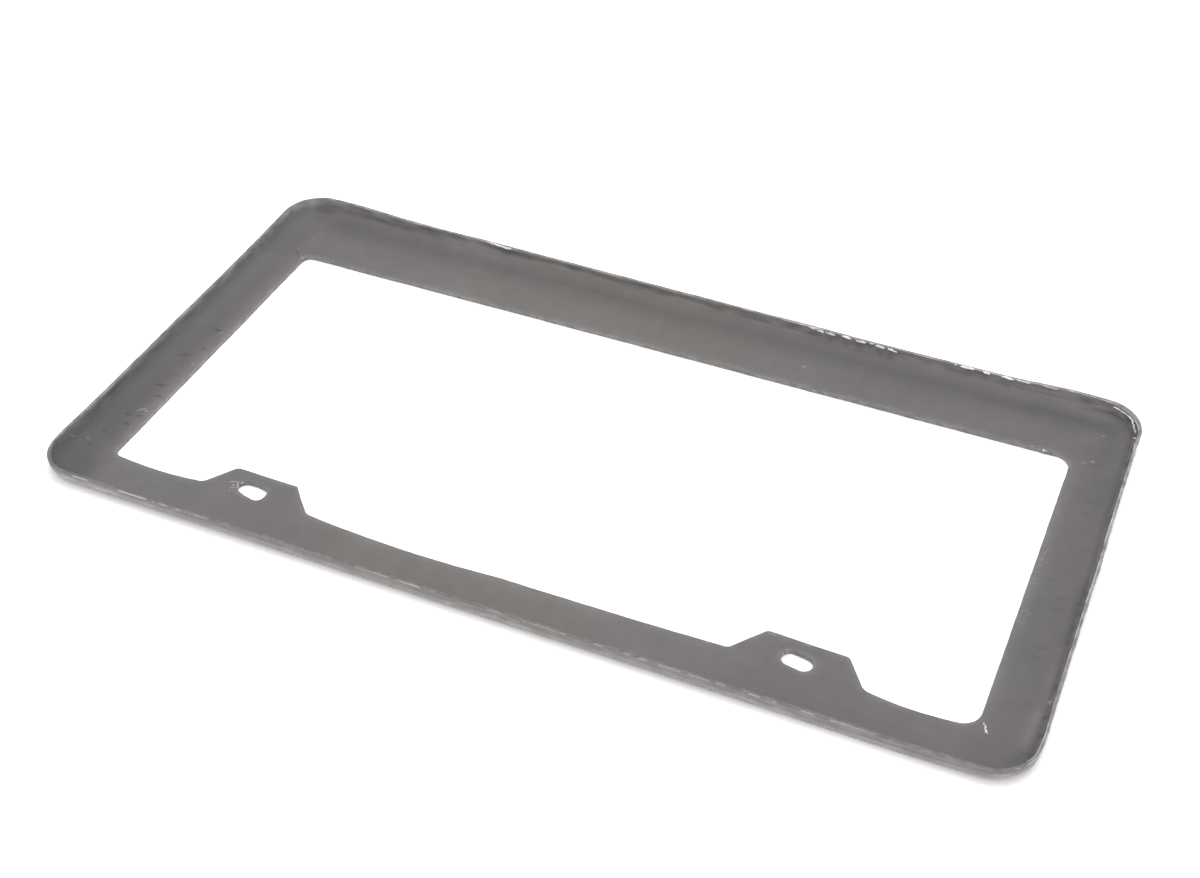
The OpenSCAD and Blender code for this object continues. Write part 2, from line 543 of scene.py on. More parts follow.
    def scatter(
        self,
        tree: bpy.types.NodeTree,
        colour: bpy.types.NodeSocket,
        place: bpy.types.NodeSocket,
        scars: tuple[Scar, ...],
        code: str,
        strength: float,
        fray: float = 1.2,
    ) -> bpy.types.NodeSocket:
        """Draw ragged marks of one colour.

        Args:
            tree: the material's nodes.
            colour: the colour so far.
            place: Object coordinates.
            scars: the marks.
            code: their hex colour.
            strength: how much of it shows, from 0 to 1.
            fray: how far the marks' edges wander, in mm.

        Returns:
            The marked colour.
        """
        rough = add(tree, "ShaderNodeTexNoise", {"Vector": place, "Scale": per_mm(0.7)}).outputs["Color"]
        rough = add(
            tree,
            "ShaderNodeVectorMath",
            {0: rough, 1: (fray * MM, fray * MM, 0), 2: place},
            operation="MULTIPLY_ADD",
        ).outputs[0]
        nearest = None
        for scar in scars:
            middle = ((scar.x + fray / 2) * MM, (scar.y + fray / 2) * MM, scar.z * MM)
            own = add(
                tree,
                "ShaderNodeMapping",
                {
                    "Vector": rough,
                    "Location": middle,
                    "Rotation": (0, 0, math.radians(scar.turn)),
                    "Scale": (scar.length / 2 * MM, scar.width / 2 * MM, scar.tall / 2 * MM),
                },
                vector_type="TEXTURE",
            ).outputs[0]
            far = add(tree, "ShaderNodeVectorMath", {0: own}, operation="LENGTH").outputs["Value"]
            nearest = far if nearest is None else add(
                tree, "ShaderNodeMath", {0: nearest, 1: far}, operation="MINIMUM"
            ).outputs[0]
        share = add(
            tree,
            "ShaderNodeMapRange",
            {"Value": nearest, "From Min": 1.4, "From Max": 0.5, "To Max": strength},
        ).outputs[0]
        return add(
            tree, "ShaderNodeMix", {"Factor": share, 6: colour, 7: srgb(code)}, data_type="RGBA"
        ).outputs[2]


@dataclass(frozen=True)
class CoatedTwill:
    """Show side: fibre cloth in 2x2 twill under a clear gelcoat, moulded to a gloss.

    The tows read as small, faint steps on the slant, and the coat mirrors the room. The
    weave fades out where the border turns up.
    """

    tow: float = 2.0
    light: str = "a09e9c"
    dark: str = "8f8d8b"
    dulled: str = "979291"

    def build(self) -> bpy.types.Material:
        """Make the material.

        Returns:
            The material.
        """
        material, tree, shader = new_material("clear_coated_twill")
        place = add(tree, "ShaderNodeTexCoord").outputs["Object"]
        axes = add(tree, "ShaderNodeSeparateXYZ", {0: place}).outputs
        column = self.count(tree, axes["X"], axes["Z"])
        row = self.count(tree, axes["Y"], axes["Z"])
        step = add(tree, "ShaderNodeMath", {0: column, 1: row}, operation="ADD").outputs[0]
        phase = add(tree, "ShaderNodeMath", {0: step, 1: 4.0}, operation="FLOORED_MODULO").outputs[0]
        warp = add(tree, "ShaderNodeMath", {0: phase, 1: 1.5}, operation="GREATER_THAN").outputs[0]
        colour = add(
            tree,
            "ShaderNodeMix",
            {"Factor": warp, 6: srgb(self.dark), 7: srgb(self.light)},
            data_type="RGBA",
        ).outputs[2]
        turned = add(
            tree,
            "ShaderNodeMapRange",
            {"Value": axes["Z"], "From Min": 0.5 * MM, "From Max": 1.2 * MM},
        ).outputs[0]
        colour = add(
            tree,
            "ShaderNodeMix",
            {"Factor": turned, 6: colour, 7: srgb(self.dulled)},
            data_type="RGBA",
        ).outputs[2]
        tree.links.new(shaded(tree, colour), shader.inputs["Base Color"])
        shader.inputs["Roughness"].default_value = 0.45
        shader.inputs["Coat Weight"].default_value = 1.0
        shader.inputs["Coat Roughness"].default_value = 0.08
        return material

    def count(
        self, tree: bpy.types.NodeTree, across: bpy.types.NodeSocket, up: bpy.types.NodeSocket
    ) -> bpy.types.NodeSocket:
        """Number the tows along one axis, carried on up the walls.

        Args:
            tree: the material's nodes.
            across: place along the axis.
            up: height.

        Returns:
            The tow's number.
        """
        along = add(tree, "ShaderNodeMath", {0: across, 1: up}, operation="ADD").outputs[0]
        wide = add(tree, "ShaderNodeMath", {0: along, 1: per_mm(self.tow)}, operation="MULTIPLY")
        return add(tree, "ShaderNodeMath", {0: wide.outputs[0]}, operation="FLOOR").outputs[0]


@dataclass(frozen=True)
class RubbedCoat:
    """Outer wall of the lip: the coat rubbed cloudy in long patches that hide the weave.

    A darker line under the rim is painted shade, and along the narrow band fibres stand
    proud in a broken pale line at its top, with a painted highlight.
    """

    dulled: str = "979291"
    clouded: str = "a9a4a3"
    shade_under_rim: str = "817c7b"
    frayed_and_glint: str = "e2e0e0"

    def build(self) -> bpy.types.Material:
        """Make the material.

        Returns:
            The material.
        """
        material, tree, shader = new_material("rubbed_cloudy_coat")
        place = add(tree, "ShaderNodeTexCoord").outputs["Object"]
        axes = add(tree, "ShaderNodeSeparateXYZ", {0: place}).outputs
        drawn = add(
            tree, "ShaderNodeVectorMath", {0: place, 1: (0.5, 0.5, 1.6)}, operation="MULTIPLY"
        ).outputs[0]
        cloud = add(
            tree, "ShaderNodeTexNoise", {"Vector": drawn, "Scale": per_mm(3), "Detail": 3.0}
        ).outputs["Fac"]
        pale = add(
            tree, "ShaderNodeMapRange", {"Value": cloud, "From Min": 0.48, "From Max": 0.62}
        ).outputs[0]
        colour = add(
            tree,
            "ShaderNodeMix",
            {"Factor": pale, 6: srgb(self.dulled), 7: srgb(self.clouded)},
            data_type="RGBA",
        ).outputs[2]
        # Painted shade: the wall darkens to a line just under the rim
        high = add(
            tree,
            "ShaderNodeMapRange",
            {"Value": axes["Z"], "From Min": 4.1 * MM, "From Max": 4.9 * MM, "To Max": 0.9},
        ).outputs[0]
        colour = add(
            tree, "ShaderNodeMix", {"Factor": high, 6: colour, 7: srgb(self.shade_under_rim)}, data_type="RGBA"
        ).outputs[2]
        line = self.fibre_and_glint_line(tree, place, axes)
        colour = add(
            tree, "ShaderNodeMix", {"Factor": line, 6: colour, 7: srgb(self.frayed_and_glint)}, data_type="RGBA"
        ).outputs[2]
        colour = lose_cast(tree, shaded(tree, colour), place)
        tree.links.new(colour, shader.inputs["Base Color"])
        shader.inputs["Roughness"].default_value = 0.5
        return material

    def fibre_and_glint_line(
        self, tree: bpy.types.NodeTree, place: bpy.types.NodeSocket, axes: bpy.types.bpy_prop_collection
    ) -> bpy.types.NodeSocket:
        """Find where the pale line of proud fibres and painted highlight shows: at the top of the
        narrow band's wall, in stretches.

        Args:
            tree: the material's nodes.
            place: Object coordinates.
            axes: the same, one socket for each axis.

        Returns:
            1 where it shows, 0 elsewhere.
        """
        top = add(
            tree,
            "ShaderNodeMapRange",
            {"Value": axes["Z"], "From Min": 4.85 * MM, "From Max": 5.05 * MM},
        ).outputs[0]
        near = add(
            tree, "ShaderNodeMath", {0: axes["Y"], 1: NEAR_LIP * MM}, operation="LESS_THAN"
        ).outputs[0]
        line = add(
            tree, "ShaderNodeMath", {0: proud_fibres_and_glints(tree, place), 1: top}, operation="MULTIPLY"
        ).outputs[0]
        return add(tree, "ShaderNodeMath", {0: line, 1: near}, operation="MULTIPLY").outputs[0]


@dataclass(frozen=True)
class SawnEdge:
    """Edge of the laminate as a saw and a file left it: dry, with ragged fibre ends.

    Broken pale lines run along both arrises of the rim, where fibres stand proud and a
    highlight is painted; along the narrow band only along the outer one.
    """

    pale: str = "928f8f"
    dull: str = "7d7a7a"
    frayed_and_glint: str = "d5d3d3"

    def build(self) -> bpy.types.Material:
        """Make the material.

        Returns:
            The material.
        """
        material, tree, shader = new_material("sawn_laminate_edge")
        place = add(tree, "ShaderNodeTexCoord").outputs["Object"]
        inset = add(tree, "ShaderNodeAttribute", attribute_name="inset").outputs["Fac"]
        ends = add(
            tree, "ShaderNodeTexNoise", {"Vector": place, "Scale": per_mm(2.4), "Detail": 4.0}
        ).outputs["Fac"]
        share = add(
            tree, "ShaderNodeMapRange", {"Value": ends, "From Min": 0.38, "From Max": 0.62}
        ).outputs[0]
        colour = add(
            tree,
            "ShaderNodeMix",
            {"Factor": share, 6: srgb(self.dull), 7: srgb(self.pale)},
            data_type="RGBA",
        ).outputs[2]
        # The rim is 1.1 mm wide, so its arrises are 0.55 mm off its middle.
        middle = add(tree, "ShaderNodeMath", {0: inset, 1: -0.55}, operation="ADD").outputs[0]
        off = add(tree, "ShaderNodeMath", {0: middle}, operation="ABSOLUTE").outputs[0]
        side = add(tree, "ShaderNodeSeparateXYZ", {0: place}).outputs["Y"]
        near = add(
            tree, "ShaderNodeMath", {0: side, 1: NEAR_LIP * MM}, operation="LESS_THAN"
        ).outputs[0]
        outward = add(tree, "ShaderNodeMath", {0: 0.52, 1: inset}, operation="SUBTRACT").outputs[0]
        off = add(tree, "ShaderNodeMix", {"Factor": near, 2: off, 3: outward}).outputs[0]
        arris = add(
            tree, "ShaderNodeMapRange", {"Value": off, "From Min": 0.28, "From Max": 0.45}
        ).outputs[0]
        # The edges of the window and the slots lie further in and get no line.
        rim = add(tree, "ShaderNodeMath", {0: inset, 1: 3.0}, operation="LESS_THAN").outputs[0]
        # The pale line is proud fibres with a painted highlight along the arris
        broken = proud_fibres_and_glints(tree, place)
        line = add(tree, "ShaderNodeMath", {0: arris, 1: rim}, operation="MULTIPLY").outputs[0]
        line = add(tree, "ShaderNodeMath", {0: line, 1: broken}, operation="MULTIPLY").outputs[0]
        colour = add(
            tree, "ShaderNodeMix", {"Factor": line, 6: colour, 7: srgb(self.frayed_and_glint)}, data_type="RGBA"
        ).outputs[2]
        colour = lose_cast(tree, shaded(tree, colour), place)
        tree.links.new(colour, shader.inputs["Base Color"])
        shader.inputs["Roughness"].default_value = 0.6
        bump = add(tree, "ShaderNodeBump", {"Height": ends, "Strength": 0.4, "Distance": 0.15 * MM})
        tree.links.new(bump.outputs[0], shader.inputs["Normal"])
        return material


@dataclass(frozen=True)
class DryResinAndGlints:
    """Flakes of resin and torn fibre that broke white, some standing for painted glints: chalky, with an
    uneven skin.
    """

    white: str = "efeeec"
    cream: str = "d8d6d1"

    def build(self) -> bpy.types.Material:
        """Make the material.

        Returns:
            The material.
        """
        material, tree, shader = new_material("broken_dry_resin_and_glints")
        place = add(tree, "ShaderNodeTexCoord").outputs["Object"]
        skin = add(
            tree, "ShaderNodeTexNoise", {"Vector": place, "Scale": per_mm(1.2), "Detail": 3.0}
        ).outputs["Fac"]
        share = add(
            tree, "ShaderNodeMapRange", {"Value": skin, "From Min": 0.4, "From Max": 0.6}
        ).outputs[0]
        colour = add(
            tree,
            "ShaderNodeMix",
            {"Factor": share, 6: srgb(self.white), 7: srgb(self.cream)},
            data_type="RGBA",
        ).outputs[2]
        tree.links.new(shaded(tree, colour), shader.inputs["Base Color"])
        shader.inputs["Roughness"].default_value = 0.5
        bump = add(tree, "ShaderNodeBump", {"Height": skin, "Strength": 0.4, "Distance": 0.1 * MM})
        tree.links.new(bump.outputs[0], shader.inputs["Normal"])
        return material


@dataclass
class RolledEdge:
    """Border that rises and turns up into the lip, swept round the rim. Sizes in mm.

    Its faces are about along long on the way round, and in the section none is wider
    than across.
    """

    rim_w: float = 316.0
    rim_d: float = 163.6
    corner_r: float = 12.0
    wall_t: float = 1.5
    lip_t: float = 1.1
    lip_h: float = 5.5
    roll_w: float = 7.0
    roll_rise: float = 1.9
    lip_lean: float = 0.25
    crease_r: float = 9.0
    knee_r: float = 1.0
    cove_r: float = 1.6
    rim_r: float = 0.25
    flat_end: float = 10.0
    along: float = 1.5
    across: float = 0.9

    @property
    def rim_z(self) -> float:
        """Height above which a point is on the sawn rim."""
        return self.lip_h - 0.2

    def section(self) -> list[tuple[float, float, float, int]]:
        """Work out the corners of the section.

        Returns:
            For each corner the distance in from the rim, height, radius and arc edges.
        """
        slope = Vector((self.lip_lean - self.roll_w, self.roll_rise)).normalized()
        lean = Vector((-self.lip_lean, self.lip_h - self.roll_rise)).normalized()
        slope_in = Vector((self.roll_w, 0)) + self.wall_t * Vector((slope.y, -slope.x))
        lean_in = Vector((0, self.lip_h)) + self.lip_t * Vector((lean.y, -lean.x))
        level = Vector((1, 0))
        crease = meet(slope_in, slope, Vector((0, self.wall_t)), level)
        cove = meet(slope_in, slope, lean_in, lean)
        rim_in = meet(lean_in, lean, Vector((0, self.lip_h)), level)
        return [
            (self.flat_end, 0, 0, 0),
            (self.roll_w, 0, self.crease_r, 4),
            (self.lip_lean, self.roll_rise, self.knee_r, 6),
            (0, self.lip_h, self.rim_r, 3),
            (rim_in.x, rim_in.y, self.rim_r, 3),
            (cove.x, cove.y, self.cove_r, 8),
            (crease.x, crease.y, self.crease_r, 6),
            (self.flat_end, self.wall_t, 0, 0),
        ]

    def wire(self, mesh: bmesh.types.BMesh) -> None:
        """Draw the section at the middle of the near run.

        Args:
            mesh: the mesh that gets it.
        """
        corners = self.section()
        verts = [mesh.verts.new((0, inset - self.rim_d / 2, z)) for inset, z, _, _ in corners]
        for pair in zip(verts, verts[1:]):
            mesh.edges.new(pair)
        for vert, (_, _, radius, segments) in zip(verts, corners):
            if radius:
                round_corner(mesh, vert, radius, segments)
        cut_long(mesh, mesh.edges, self.across)

    def sweep(self, mesh: bmesh.types.BMesh) -> None:
        """Carry the section round one quarter of the rim, then mirror it twice.

        Args:
            mesh: the mesh that holds the section.
        """
        half = Vector((self.rim_w / 2 - self.corner_r, self.rim_d / 2 - self.corner_r, 0))
        last = self.run(mesh, mesh.verts[:] + mesh.edges[:], Vector((half.x, 0, 0)))
        last = bmesh.ops.spin(
            mesh, geom=last, cent=(half.x, -half.y, 0), axis=(0, 0, 1), angle=QUARTER, steps=16
        )["geom_last"]
        self.run(mesh, last, Vector((0, half.y, 0)))
        for axis in ("X", "Y"):
            whole = mesh.verts[:] + mesh.edges[:] + mesh.faces[:]
            bmesh.ops.mirror(mesh, geom=whole, merge_dist=ONE_POINT, axis=axis)
        bmesh.ops.remove_doubles(mesh, verts=mesh.verts, dist=ONE_POINT)

    def run(self, mesh: bmesh.types.BMesh, geom: list, way: Vector) -> list:
        """Carry a section straight along way, in steps.

        Args:
            mesh: the mesh.
            geom: the section's vertices and edges.
            way: how far it goes, in mm.

        Returns:
            The section at the far end.
        """
        steps = round(way.length / self.along)
        return bmesh.ops.spin(
            mesh, geom=geom, axis=(0, 0, 1), dvec=way / steps, angle=0, steps=steps
        )["geom_last"]

    def under(self, inset: float) -> float:
        """Height of the border's underside at a distance in from the rim, in mm."""
        return self.roll_rise * clamp((self.roll_w - inset) / (self.roll_w - self.lip_lean))

    def inset(self, x: float, y: float) -> float:
        """Measure how far in from the rim's outline a place is, seen in plan.

        Args:
            x: place along X, in mm.
            y: place along Y, in mm.

        Returns:
            The distance, in mm.
        """
        qx = abs(x) - self.rim_w / 2 + self.corner_r
        qy = abs(y) - self.rim_d / 2 + self.corner_r
        beyond = math.hypot(max(qx, 0), max(qy, 0))
        return self.corner_r - beyond - min(max(qx, qy), 0)


@dataclass(frozen=True)
class Tab:
    """Bolt tab that rises from the narrow band into the window. Sizes in mm."""

    foot_left: float
    top_left: float
    top_right: float
    foot_right: float
    height_left: float
    height_right: float
    round_left: float = 2.0
    round_right: float = 2.0


@dataclass
class Window:
    """Window that was cut through the floor by hand. Sizes in mm, seen in plan.

    Each scoop is where the narrow band's edge dips: its two ends and its depth. No
    edge of the outline is longer than along.
    """

    left: float = -140.4
    right: float = 139.8
    far_left: float = 52.8
    far_right: float = 54.7
    near: float = -64.9
    tabs: tuple[Tab, ...] = (
        Tab(-107.4, -100.6, -79.3, -70.5, -55.0, -55.4, 2.0, 0.9),
        Tab(66.9, 75.3, 100.1, 107.2, -54.3, -54.9),
    )
    scoops: tuple[tuple[float, float, float], ...] = (
        (-139.5, -107.4, 1.1),
        (-70.5, 66.9, 1.0),
        (-70.5, -5.0, 1.15),
        (107.2, 139.8, 1.5),
    )
    along: float = 1.4

    def corners(self) -> list[tuple[float, float, float, int]]:
        """Work out the corners of the outline.

        Returns:
            For each corner x, y, radius and arc edges.
        """
        outline = [(self.left, self.far_left, 3.5, 8), (self.left, self.near, 3.0, 8)]
        for tab in self.tabs:
            outline += [
                (tab.foot_left, self.near, 2.5, 5),
                (tab.top_left, tab.height_left, tab.round_left, 5),
                (tab.top_right, tab.height_right, tab.round_right, 5),
                (tab.foot_right, self.near, 2.5, 5),
            ]
        return outline + [(self.right, self.near, 5.0, 9), (self.right, self.far_right, 4.8, 9)]

    def dip(self, x: float) -> float:
        """Measure how far the narrow band's edge is scooped out.

        Args:
            x: place along X, in mm.

        Returns:
            The depth, in mm.
        """
        shares = ((x - start) / (end - start) for start, end, _ in self.scoops)
        depths = (depth for _, _, depth in self.scoops)
        return sum(4 * d * t * (1 - t) for t, d in zip(shares, depths) if 0 < t < 1)

    def wire(self, mesh: bmesh.types.BMesh, z: float) -> None:
        """Draw the outline with rounded corners and scooped edges.

        Args:
            mesh: the mesh that gets it.
            z: its height, in mm.
        """
        before = set(mesh.edges)
        corners = self.corners()
        verts = [mesh.verts.new((x, y, z)) for x, y, _, _ in corners]
        for pair in zip(verts, verts[1:] + verts[:1]):
            mesh.edges.new(pair)
        for vert, (_, _, radius, segments) in zip(verts, corners):
            round_corner(mesh, vert, radius, segments)
        cut_long(mesh, [e for e in mesh.edges if e not in before], self.along)
        for vert in {v for e in set(mesh.edges) - before for v in e.verts}:
            if vert.co.y < self.near + 3:
                vert.co.y -= self.dip(vert.co.x)


@dataclass
class BoltSlot:
    """Slot with round ends, drilled and filed by hand, a little askew. Sizes in mm.

    Its left end narrows by the share taper, and the file ran past the line by sag at
    the lower right.
    """

    x: float
    y: float
    length: float
    width: float
    turn: float
    taper: float = 0.0
    sag: float = 0.0

    def wire(self, mesh: bmesh.types.BMesh, z: float) -> None:
        """Draw the outline.

        Args:
            mesh: the mesh that gets it.
            z: its height, in mm.
        """
        ring = bmesh.ops.create_circle(mesh, segments=44, radius=self.width / 2)["verts"]
        reach = (self.length - self.width) / 2
        for way in (-1, 1):
            end = [vert for vert in ring if vert.co.x * way > 1e-4]
            bmesh.ops.translate(mesh, verts=end, vec=(way * reach, 0, 0))
        for vert in ring:
            along = 2 * vert.co.x / self.length
            vert.co.y *= 1 - self.taper * clamp(-along)
            if vert.co.y < 0:
                vert.co.y -= self.sag * clamp(1 - abs(along - 1.1) / 0.75)
        place = Matrix.Translation((self.x, self.y, z)) @ Matrix.Rotation(math.radians(self.turn), 4, "Z")
        bmesh.ops.transform(mesh, matrix=place, verts=ring)


@dataclass(frozen=True)
class Stray:
    """A place where the hand-trimmed edge strays from its true line. Sizes in mm.

    The rim leans out, its inner side grows wider, and the border's knee lifts, each
    by its own amount in the middle, dying away over reach. Where whole is set, the
    foot of the lip goes along with the rim.
    """

    x: float
    y: float
    reach: float
    lean: float = 0.0
    wide: float = 0.0
    lift: float = 0.0
    whole: bool = False


@dataclass(frozen=True)
class Streak:
    """A soft lighter or darker stroke: its two ends and reach in mm, and its gain as a share."""

    x: float
    y: float
    end_x: float
    end_y: float
    reach: float
    gain: float

    def at(self, x: float, y: float) -> float:
        """Work out how much the stroke changes a place.

        Args:
            x: place along X, in mm.
            y: place along Y, in mm.

        Returns:
            The share by which it lightens the place, or darkens it below 0.
        """
        run = Vector((self.end_x - self.x, self.end_y - self.y))
        gone = Vector((x - self.x, y - self.y))
        off = (gone - run * clamp(gone.dot(run) / run.length_squared)).length
        return self.gain * math.exp(-((off / self.reach) ** 2))


@dataclass
class PlateFrame:
    """The one-piece frame: rolled edge, flat flange, window and bolt slots.

    Its broad shading is the soft shade that gathers inside a lip, and the lighter and
    darker resin, laid on as shares of the ground colour.
    """

    edge: RolledEdge = field(default_factory=RolledEdge)
    window: Window = field(default_factory=Window)
    slots: tuple[BoltSlot, ...] = (
        BoltSlot(-91.3, -62.35, 10.3, 6.0, -9.5, 0.22, 0.75),
        BoltSlot(86.7, -62.05, 9.7, 5.8, -9.0),
    )
    strays: tuple[Stray, ...] = (
        Stray(-138, 82, 21, lean=1.7, lift=0.12),
        Stray(-75, 82, 48, lean=0.75),
        Stray(0, 82, 40, lean=0.35),
        Stray(42, 82, 12, lean=0.3),
        Stray(126, 82, 9, lean=0.35),
        Stray(140, 82, 17, lean=1.7, lift=0.14),
        Stray(103, 82, 28, lean=0.4),
        Stray(153, 79, 9, wide=0.9),
        Stray(158, 0, 75, lean=0.5),
        Stray(-158, 64, 24, lean=0.4),
        Stray(-158, 20, 45, lean=0.25),
        Stray(158, 3, 6, lean=0.25),
        Stray(158, -64, 7, lean=0.3),
        Stray(-158, -64, 8, lean=0.35),
        Stray(154.5, -78.3, 8, lean=-0.8, whole=True),
        Stray(152, -80, 9, lift=0.5, whole=True),
        Stray(-151, -80, 9, lift=0.3, whole=True),
        Stray(118, -82, 34, lift=-0.9, whole=True),
        Stray(10, -82, 120, lift=-0.8, whole=True),
    )
    # Painted shade and light as shares by depth, in mm down the lip and on across the band:
    # the wide band at its left end, middle and right end, then the left and right bands
    far_left_painted_shade: Stops = (
        (0, 1.3), (0.5, 1.42), (0.95, 1.46), (1.35, 1.3), (1.8, 1.05), (2.3, 0.83),
        (2.8, 0.73), (3.3, 0.79), (3.8, 0.89), (4.85, 0.86), (6.2, 0.845),
    )
    far_painted_shade: Stops = (
        (0, 1.45), (0.5, 1.44), (0.95, 1.2), (1.35, 1.0), (1.8, 0.97), (2.8, 1.03),
        (3.3, 0.99), (3.8, 0.92), (4.8, 0.86), (6.2, 0.845), (9.2, 0.75), (10.8, 0.715),
        (12.9, 0.745), (17.9, 0.86), (20, 0.895), (29, 0.96),
    )
    far_right_painted_shade: Stops = (
        (0, 1.3), (0.6, 1.45), (1.05, 1.4), (1.5, 1.36), (1.95, 1.3), (2.45, 1.08),
        (2.95, 1.0), (3.45, 1.04), (3.95, 1.01), (4.45, 0.89), (5.0, 0.845), (6.2, 0.84),
    )
    left_painted_shade: Stops = (
        (0, 1.45), (0.6, 1.46), (1.0, 1.33), (1.3, 1.08), (1.8, 0.8), (2.2, 0.67), (3.0, 0.6),
        (3.6, 0.58), (4.6, 0.6), (6.2, 0.68), (10.9, 0.71), (14.9, 0.735), (16.9, 0.79),
        (18.4, 0.865), (19.5, 0.9),
    )
    right_painted_shade: Stops = (
        (0, 1.14), (1.4, 0.97), (2.2, 0.9), (2.9, 0.72), (3.4, 0.6), (4.0, 0.56), (5.0, 0.685),
        (6.2, 0.755), (7.5, 0.765), (14.9, 0.77), (16.9, 0.79), (18.4, 0.83), (19.5, 0.9),
    )
    # Share by place along the wide band, then along the narrow one
    far_levels: Stops = (
        (-150, 0.97), (-138, 0.91), (-126, 0.92), (-110, 0.95), (-95, 0.98), (-66, 1.01),
        (0, 1.0), (18, 0.97), (36, 0.935), (78, 0.92), (102, 0.915), (126, 0.9), (138, 0.885),
        (150, 0.98),
    )
    near_tones: Stops = (
        (-138, 0.92), (-126, 0.98), (-100, 0.98), (-80, 0.92), (-62, 0.93), (-50, 1.0),
        (42, 0.99), (66, 0.92), (80, 0.875), (140, 0.865),
    )
    # Share by height up the lip's outer wall: painted shade under the rim, and painted reflection of the
    # table lighter towards the foot
    wall_shade_and_reflection: Stops = (
        (3.1, 1.2), (3.7, 0.95), (4.2, 0.69), (4.7, 0.73), (5.1, 0.89), (5.4, 0.92),
    )
    # How much the proud fibres and their painted highlight show, by place along the narrow
    # and the wide band's rim
    near_frays_and_glints: Stops = (
        (-135, 0.7), (-120, 0.9), (-105, 0.7), (-88, 0.25), (-50, 0.2), (-32, 0.6), (-20, 0.9),
        (-6, 0.5), (20, 0.42), (34, 0.6), (44, 0.85), (58, 0.5), (72, 0.6), (84, 0.85),
        (100, 0.85), (112, 0.5), (140, 0.2),
    )
    far_frays_and_glints: Stops = (
        (-150, 0.1), (-95, 0.1), (-85, 0.45), (-60, 0.45), (-45, 0.25), (20, 0.25), (38, 0.7),
        (130, 0.7), (146, 0.45),
    )
    # Share by distance in across the narrow band's sawn rim, then across the right one
    rim_tones: Stops = (
        (0.0, 0.86), (0.2, 0.79), (0.37, 0.69), (0.55, 0.63), (0.8, 0.62), (1.1, 0.65),
    )
    right_rim_tones: Stops = ((0.0, 1.26), (0.55, 1.1), (1.1, 0.97))
    streaks: tuple[Streak, ...] = (
        # The first five lay painted light on the wide band's slope and painted shade in its crease
        Streak(84, 78.5, 146, 77.6, 1.6, 0.09),
        Streak(98, 72.6, 150, 73.6, 2.8, -0.07),
        Streak(122, 73.4, 149, 73.8, 3.0, -0.05),
        Streak(-40, 74.6, -22, 74.6, 1.5, -0.06),
        Streak(-72, 75.0, -36, 75.2, 2.0, -0.03),
        Streak(-89, 80.0, -76, 77.6, 1.0, 0.12),
        Streak(-98, 81.5, -92, 77.6, 1.5, 0.14),
        Streak(-110, 79.3, -104, 79.8, 0.9, 0.08),
        Streak(-150, 78.0, -145.4, 78.6, 1.0, -0.26),
        Streak(-139, 80.4, -131, 80.3, 0.8, -0.14),
        Streak(-126, 80.3, -112, 79.7, 0.8, -0.12),
        Streak(-157, 74, -152, 80, 2.2, 0.2),
        Streak(-92, 53.6, -72, 53.4, 1.2, 0.06),
        Streak(-157, -70, -153, -45, 4.0, -0.09),
        Streak(-156, 22, -152, 46, 6.0, 0.08),
        Streak(-156.6, -44, -156.2, -49, 0.8, 0.16),
        Streak(-156.6, -51, -156.3, -54, 0.8, 0.16),
        Streak(-157, -56, -156.6, -62, 0.8, 0.14),
        Streak(-156.3, -37, -156.4, -41, 0.9, -0.14),
        Streak(-155.8, -52.5, -155.6, -55, 0.8, -0.12),
        Streak(152.5, 36, 152, 47, 3.4, -0.11),
        Streak(141.2, -27, 141.2, 38, 1.3, 0.07),
        Streak(155.2, -57, 154.6, -30, 1.2, 0.1),
        Streak(155.2, 3, 155.2, 27, 1.3, 0.1),
        Streak(155.0, -12, 155.0, -2, 1.4, -0.06),
        Streak(155.1, -4, 155.0, -24, 1.7, -0.06),
        Streak(154.8, -36, 154.4, -62, 2.0, 0.14),
        Streak(153.6, -56, 153.0, -66, 1.8, 0.26),
        Streak(155.8, -49, 155.8, -51, 1.0, 0.16),
        Streak(153.4, -70.5, 150.8, -74.5, 1.4, -0.17),
        Streak(-45, -67.4, 28, -67.4, 2.2, 0.07),
    )
    show_tone: float = 0.94
    eased: float = 0.1

    def cut_outlines(self, mesh: bmesh.types.BMesh) -> None:
        """Draw the window and the slots on the back, and drop their walls.

        Args:
            mesh: the mesh that holds the rolled edge.
        """
        swept = set(mesh.edges)
        self.window.wire(mesh, self.edge.wall_t)
        for slot in self.slots:
            slot.wire(mesh, self.edge.wall_t)
        drawn = [e for e in mesh.edges if e not in swept]
        for vert in {v for e in drawn for v in e.verts}:
            x, y = vert.co.x, vert.co.y
            vert.co.x += 0.1 * ripple(x, y, 11, 3.5) + 0.09 * ripple(x, y, 2.6, 8.5)
            vert.co.y += 0.1 * ripple(x, y, 11, 13.5) + 0.09 * ripple(x, y, 2.6, 18.5)
        dropped = bmesh.ops.extrude_edge_only(mesh, edges=drawn)["geom"]
        low = [v for v in dropped if isinstance(v, bmesh.types.BMVert)]
        bmesh.ops.translate(mesh, verts=low, vec=(0, 0, -self.edge.wall_t))

